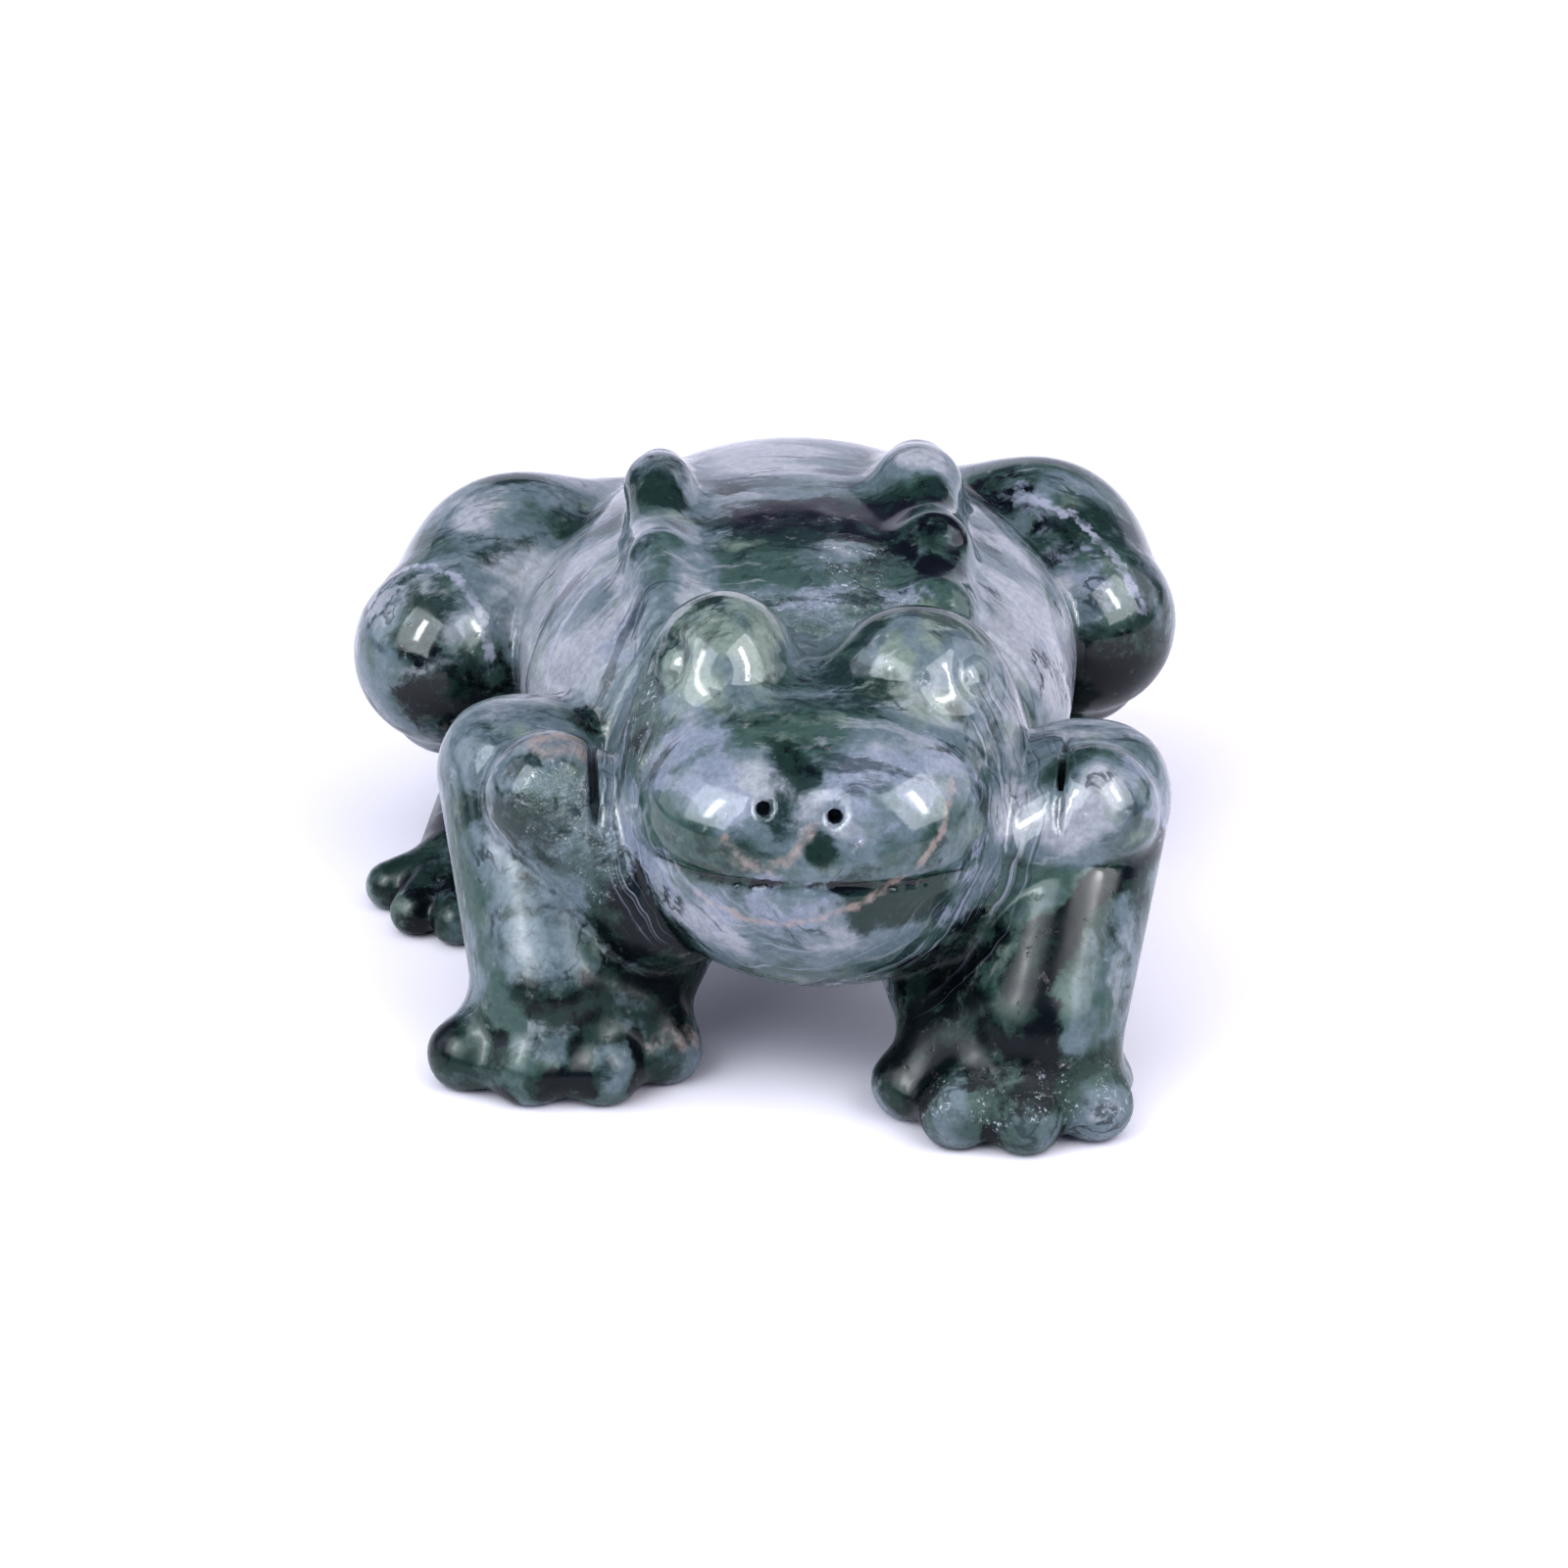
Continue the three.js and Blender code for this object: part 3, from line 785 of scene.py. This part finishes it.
def marbling(g, place, masks):
    """Pale and mid grey-green clouds, drifts of deep green, and cores that are nearly black.

    Every mask, stains as well as painted shade and painted reflection, only pushes the marbling one way or
    the other, so its edges are as ragged as the rest.
    """
    dark, green, pale = masks["dark"], masks["green"], masks["pale"]
    bedding = g.mapping(warped(g, place, 5.0, 0.09, 3.0), rotation=BEDDING_TURN)
    clouds = g.noise(g.mapping(bedding, scale=(0.11, 0.11, 0.22)), 1.0, 5.0, 0.55)
    tone = pushed(g, clouds, (pale, 0.26), (dark, -0.12), (green, -0.12))
    colour = g.mix(g.step(tone, 0.40, 0.54), MID_GREEN, BLUE_GREY)
    colour = g.mix(g.step(tone, 0.56, 0.72, 0.0, 0.9), colour, PALE)
    tinge = pushed(g, g.noise(place, 0.30, 4.0, 0.5), (masks["olive"], 0.22))
    colour = g.mix(g.step(tinge, 0.58, 0.78, 0.0, 0.8), colour, PALE_GREEN)
    cool = pushed(g, g.noise(warped(g, place, 1.2, 0.5), 0.35, 5.0, 0.6), (masks["blue"], 0.25))
    colour = g.mix(g.step(cool, 0.64, 0.76, 0.0, 0.7), colour, LAVENDER)
    colour = streaks(g, colour, bedding, place)
    flowing = g.mapping(warped(g, place, 3.4, 0.28, 3.0), rotation=BEDDING_TURN)
    drifts = g.noise(g.mapping(flowing, scale=(0.13, 0.17, 0.27)), 1.0, 8.0, 0.64)
    deep = pushed(g, drifts, (green, 0.17), (dark, 0.14), (pale, -0.16), (masks["blue"], -0.12))
    colour = g.mix(g.step(deep, 0.50, 0.64, 0.0, 0.92), colour, FOREST)
    cores = g.noise(warped(g, place, 2.4, 0.5, 3.0), 0.36, 7.0, 0.66)
    black = pushed(g, cores, (dark, 0.25), (pale, -0.16))
    colour = g.mix(g.step(black, 0.62, 0.76), colour, NEAR_BLACK)
    grain = g.noise(place, 1.8, 4.0, 0.68)
    colour = g.vector("SCALE", colour, scale=g.step(grain, 0.30, 0.70, 0.86, 1.16))
    tan = pushed(g, g.noise(place, 0.9, 4.0, 0.55), (masks["tan"], 0.36))
    return g.mix(g.step(tan, 0.62, 0.95, 0.0, 0.6), colour, TAN)


def jaw_rings(g, colour, place, mask):
    """Fine rings round the jaw and neck, where the head cuts through thin curved beds."""
    wobbly = warped(g, place, 0.8, 0.3)
    radius = g.vector("LENGTH", g.mapping(wobbly, RING_CENTRE, RING_TURN, RING_RADII, kind="TEXTURE"))
    drift = g.math("MULTIPLY_ADD", g.noise(place, 0.22, 2.0), 0.16, radius)
    rings = g.node("ShaderNodeTexNoise", noise_dimensions="1D")
    g.plug(g.math("MULTIPLY", drift, RING_DENSITY), rings.inputs["W"])
    rings.inputs["Scale"].default_value = 1.0
    rings.inputs["Detail"].default_value = 3.0
    rings.inputs["Roughness"].default_value = 0.6
    patchy = g.math("MULTIPLY", mask, g.step(g.noise(place, 0.35, 3.0), 0.36, 0.60))
    light = g.math("MULTIPLY", g.step(rings.outputs[0], 0.56, 0.68), patchy)
    shade = g.math("MULTIPLY", g.step(rings.outputs[0], 0.44, 0.34), patchy)
    colour = g.mix(g.math("MULTIPLY", light, 0.65), colour, LINE_PALE)
    return g.mix(g.math("MULTIPLY", shade, 0.65), colour, LINE_DARK)


def veins(g, colour, place, mask):
    """The pale veins, broken and thinned here and there."""
    patchy = g.step(g.noise(place, 0.6, 3.0), 0.34, 0.60, 0.2, 0.85)
    ragged = g.step(pushed(g, g.noise(place, 1.4, 3.0), (mask, 0.5)), 0.70, 0.95)
    return g.mix(g.math("MULTIPLY", ragged, patchy), colour, LINE_PALE)


def gloss(g, place, rough, shader):
    """Polish, duller low down and in the rough patches, and a little light let into the stone."""
    polish = g.step(g.noise(place, 0.5, 4.0), 0.35, 0.7, *POLISH)
    height = g.node("ShaderNodeSeparateXYZ")
    g.plug(place, height.inputs[0])
    satin = g.step(height.outputs["Z"], SATIN_TOP, SATIN_TOP - SATIN_FADE)
    dulled = pushed(g, polish, (satin, SATIN_ROUGHNESS), (rough, PIT_ROUGHNESS))
    g.plug(dulled, shader.inputs["Roughness"])
    g.plug(pushed(g, GLOSS, (satin, SATIN_GLOSS)), shader.inputs["Specular IOR Level"])
    shader.inputs["IOR"].default_value = STONE_IOR
    shader.inputs["Subsurface Weight"].default_value = GLOW
    shader.inputs["Subsurface Radius"].default_value = GLOW_RADIUS
    shader.inputs["Subsurface Scale"].default_value = GLOW_DEPTH * MM


def relief(g, place, grains, rough, shader):
    """Slow waves left by the polishing, and pits in the rough patches."""
    waves = g.math("MULTIPLY", g.noise(place, 0.20, 1.0), WAVE_HEIGHT)
    pits = g.math("MULTIPLY", g.math("MULTIPLY", grains, rough), PIT_HEIGHT)
    bumps = g.node("ShaderNodeBump")
    bumps.inputs["Strength"].default_value = 1.0
    bumps.inputs["Distance"].default_value = MM
    g.plug(g.math("ADD", waves, pits), bumps.inputs["Height"])
    g.plug(bumps.outputs[0], shader.inputs["Normal"])


def jade():
    material = bpy.data.materials.new("jade")
    material.use_nodes = True
    tree = material.node_tree
    tree.nodes.clear()
    g = Graph(tree)
    metres = g.node("ShaderNodeTexCoord").outputs["Object"]
    place = g.vector("SUBTRACT", g.vector("SCALE", metres, scale=1 / MM), tuple(SHIFT))
    masks = {}
    for name, kinds in MASK_ATTRIBUTES.items():
        masks.update(zip(kinds, g.channels(name)))
    colour = marbling(g, place, masks)
    colour = jaw_rings(g, colour, place, masks["rings"])
    colour = veins(g, colour, place, masks["vein"])
    grains = g.noise(place, 3.2, 4.0, 0.7)
    rough = g.step(pushed(g, g.noise(place, 0.9, 5.0, 0.6), (masks["rough"], 0.4)), 0.60, 0.90)
    clumps = g.step(g.noise(place, 0.7, 3.0), 0.46, 0.62)
    flecks = g.math("MULTIPLY", g.step(grains, 0.54, 0.68), g.math("MULTIPLY", rough, clumps))
    colour = g.mix(g.math("MULTIPLY", flecks, FLECK_STRENGTH), colour, WHITE_FLECK)

    shader = g.node("ShaderNodeBsdfPrincipled")
    g.plug(colour, shader.inputs["Base Color"])
    gloss(g, place, rough, shader)
    relief(g, place, grains, rough, shader)
    output = g.node("ShaderNodeOutputMaterial")
    g.plug(shader.outputs[0], output.inputs["Surface"])
    return material


# ---------------------------------------------------------------------------------------------------------
# Floor, light and camera
# ---------------------------------------------------------------------------------------------------------
FLOOR_HALF = 3.0  # metres
FLOOR_FADE = (0.15, 0.30)  # metres from the middle, over which the floor fades to plain white
FLOOR_ROUGHNESS = 0.9
FLOOR_COLOUR = srgb(250, 248, 255)
TARGET = (0.0, -10.0, 15.0)
CAMERA_ELEVATION = 25.0
CAMERA_DISTANCE = 420.0
SENSOR = 36.0
LENS = 132.3


def paper():
    """Plain white paper. Far from the frog it glows for the camera, as white as the background."""
    material = bpy.data.materials.new("floor")
    material.use_nodes = True
    g = Graph(material.node_tree)
    shader = material.node_tree.nodes["Principled BSDF"]
    shader.inputs["Base Color"].default_value = FLOOR_COLOUR
    shader.inputs["Roughness"].default_value = FLOOR_ROUGHNESS
    shader.inputs["Specular IOR Level"].default_value = 0.0
    shader.inputs["Emission Color"].default_value = (1.0, 1.0, 1.0, 1.0)
    distance = g.vector("LENGTH", g.node("ShaderNodeTexCoord").outputs["Object"])
    far = g.step(distance, *FLOOR_FADE)
    seen = g.node("ShaderNodeLightPath").outputs["Is Camera Ray"]
    g.plug(g.math("MULTIPLY", far, seen), shader.inputs["Emission Strength"])
    return material


def floor():
    mesh = bpy.data.meshes.new("floor")
    corners = [(-FLOOR_HALF, -FLOOR_HALF, 0), (FLOOR_HALF, -FLOOR_HALF, 0)]
    corners += [(FLOOR_HALF, FLOOR_HALF, 0), (-FLOOR_HALF, FLOOR_HALF, 0)]
    mesh.from_pydata(corners, [], [(0, 1, 2, 3)])
    mesh.materials.append(paper())
    plane = bpy.data.objects.new("floor", mesh)
    bpy.context.collection.objects.link(plane)


def point_at(thing, place, target):
    thing.location = place
    thing.rotation_euler = (target - place).to_track_quat("-Z", "Y").to_euler()


# Soft boxes: (name, azimuth from the front towards +X, elevation, distance mm, width mm, height mm,
# radiance, colour, what it is seen by: the stone's gloss, its body colour, or both)
SOFT_BOXES = [
    ("left_fill", -58, 36, 550, 660, 520, 2.4, (0.92, 0.95, 1.0), "body"),
    ("right_fill", 64, 36, 550, 620, 520, 2.2, (0.96, 0.96, 1.0), "body"),
    ("left_box", -48, 40, 550, 460, 480, 5.0, (0.90, 0.95, 1.0), "gloss"),
    ("right_box", 56, 40, 550, 460, 480, 5.0, (0.95, 0.96, 1.0), "gloss"),
    ("left_tube", -46, 42, 500, 60, 220, 16, (1.0, 1.0, 1.0), "gloss"),
    ("right_tube", 54, 42, 500, 60, 220, 16, (1.0, 1.0, 1.0), "gloss"),
    ("left_veil", -96, 30, 620, 360, 560, 1.6, (0.88, 0.90, 1.0), "gloss"),
    ("right_veil", 106, 30, 620, 360, 560, 1.6, (0.90, 0.90, 1.0), "gloss"),
    ("left_wall", -120, 14, 700, 500, 300, 1.2, (0.88, 0.88, 1.0), "body"),
    ("right_wall", 120, 14, 700, 500, 300, 1.2, (0.88, 0.88, 1.0), "body"),
    ("back_wall", 180, 10, 700, 1500, 240, 0.7, (0.86, 0.86, 1.0), "both"),
]
KEY_AZIMUTH = 0.0
KEY_ELEVATION = 82.0
KEY_ANGLE = 70.0
KEY_STRENGTH = 1.3
SKY_STRENGTH = 0.17
SKY_COLOUR = (0.60, 0.54, 1.0, 1.0)
BACKDROP = (1.0, 1.0, 1.0, 1.0)


def direction(azimuth, elevation):
    """Unit vector away from the frog. Azimuth 0 is in front of it, and 90 towards +X."""
    a, e = math.radians(azimuth), math.radians(elevation)
    return Vector((math.sin(a) * math.cos(e), -math.cos(a) * math.cos(e), math.sin(e)))


def lamp(name, kind, place, target, colour, energy):
    data = bpy.data.lights.new(name, kind)
    data.color = colour
    data.energy = energy
    made = bpy.data.objects.new(name, data)
    bpy.context.collection.objects.link(made)
    point_at(made, place, target)
    made.visible_camera = False
    return made


def lights():
    target = Vector((TARGET + SHIFT) * MM)
    for name, azimuth, elevation, distance, width, height, radiance, colour, seen_by in SOFT_BOXES:
        size = (width * MM, height * MM)
        place = target + direction(azimuth, elevation) * distance * MM
        box = lamp(name, "AREA", place, target, colour, radiance * math.pi * size[0] * size[1])
        box.data.shape = "RECTANGLE"
        box.data.size, box.data.size_y = size
        box.visible_diffuse = seen_by != "gloss"
        box.visible_glossy = seen_by != "body"
    place = target + direction(KEY_AZIMUTH, KEY_ELEVATION)
    key = lamp("key", "SUN", place, target, (1.0, 1.0, 1.0), KEY_STRENGTH)
    key.data.angle = math.radians(KEY_ANGLE)
    key.visible_glossy = False


def tent():
    """A dim sky that lights the stone, and a white one that only the camera sees, as a plain background."""
    world = bpy.data.worlds.new("tent")
    world.use_nodes = True
    g = Graph(world.node_tree)
    sky = world.node_tree.nodes["Background"]
    sky.inputs["Color"].default_value = SKY_COLOUR
    sky.inputs["Strength"].default_value = SKY_STRENGTH
    backdrop = g.node("ShaderNodeBackground")
    backdrop.inputs["Color"].default_value = BACKDROP
    seen = g.node("ShaderNodeMixShader")
    g.plug(g.node("ShaderNodeLightPath").outputs["Is Camera Ray"], seen.inputs[0])
    g.plug(sky.outputs[0], seen.inputs[1])
    g.plug(backdrop.outputs[0], seen.inputs[2])
    g.plug(seen.outputs[0], world.node_tree.nodes["World Output"].inputs["Surface"])
    bpy.context.scene.world = world


def camera():
    data = bpy.data.cameras.new("camera")
    data.sensor_width = SENSOR
    data.lens = LENS
    data.clip_start = 0.01
    eye = bpy.data.objects.new("camera", data)
    bpy.context.collection.objects.link(eye)
    bpy.context.scene.camera = eye
    target = Vector((TARGET + SHIFT) * MM)
    point_at(eye, target + direction(0, CAMERA_ELEVATION) * CAMERA_DISTANCE * MM, target)
    bpy.context.scene.view_settings.view_transform = "Standard"
    bpy.context.scene.view_settings.look = "Medium High Contrast"


camera()
lights()
tent()
floor()
stone = carving()
stone.data.materials.append(jade())
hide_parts("carved_frog")
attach(stone, "root")
